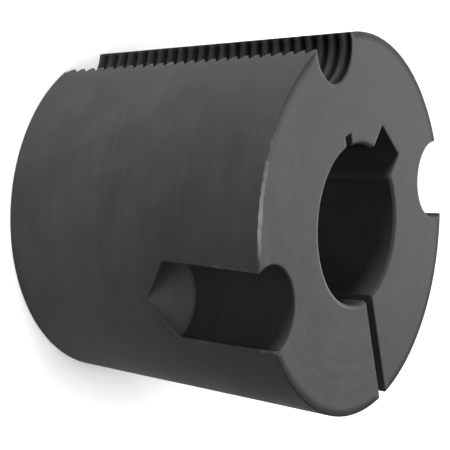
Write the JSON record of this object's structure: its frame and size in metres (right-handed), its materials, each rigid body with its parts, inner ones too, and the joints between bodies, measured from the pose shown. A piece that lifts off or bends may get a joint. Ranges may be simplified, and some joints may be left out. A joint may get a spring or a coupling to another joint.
{
  "type": "taper bush",
  "caption": "Split conical clamping bush with a keyed bore, two plain blind half-holes and one threaded half-hole in its outside.",
  "frame": {"origin": "on the bore axis in the plane of the small end face, which the bush stands on", "axes": "+Z along the bore axis from the small end to the large end, +Y from the bore axis through the middle of the keyway, +X completes a right-handed set"},
  "size_m": [0.0476, 0.0476, 0.0381],
  "materials": {
    "phosphated_iron": "satin, dark grey phosphated, machined all over"
  },
  "bodies": {
    "root": {"taper_bush": "phosphated_iron"}
  },
  "joints": []
}
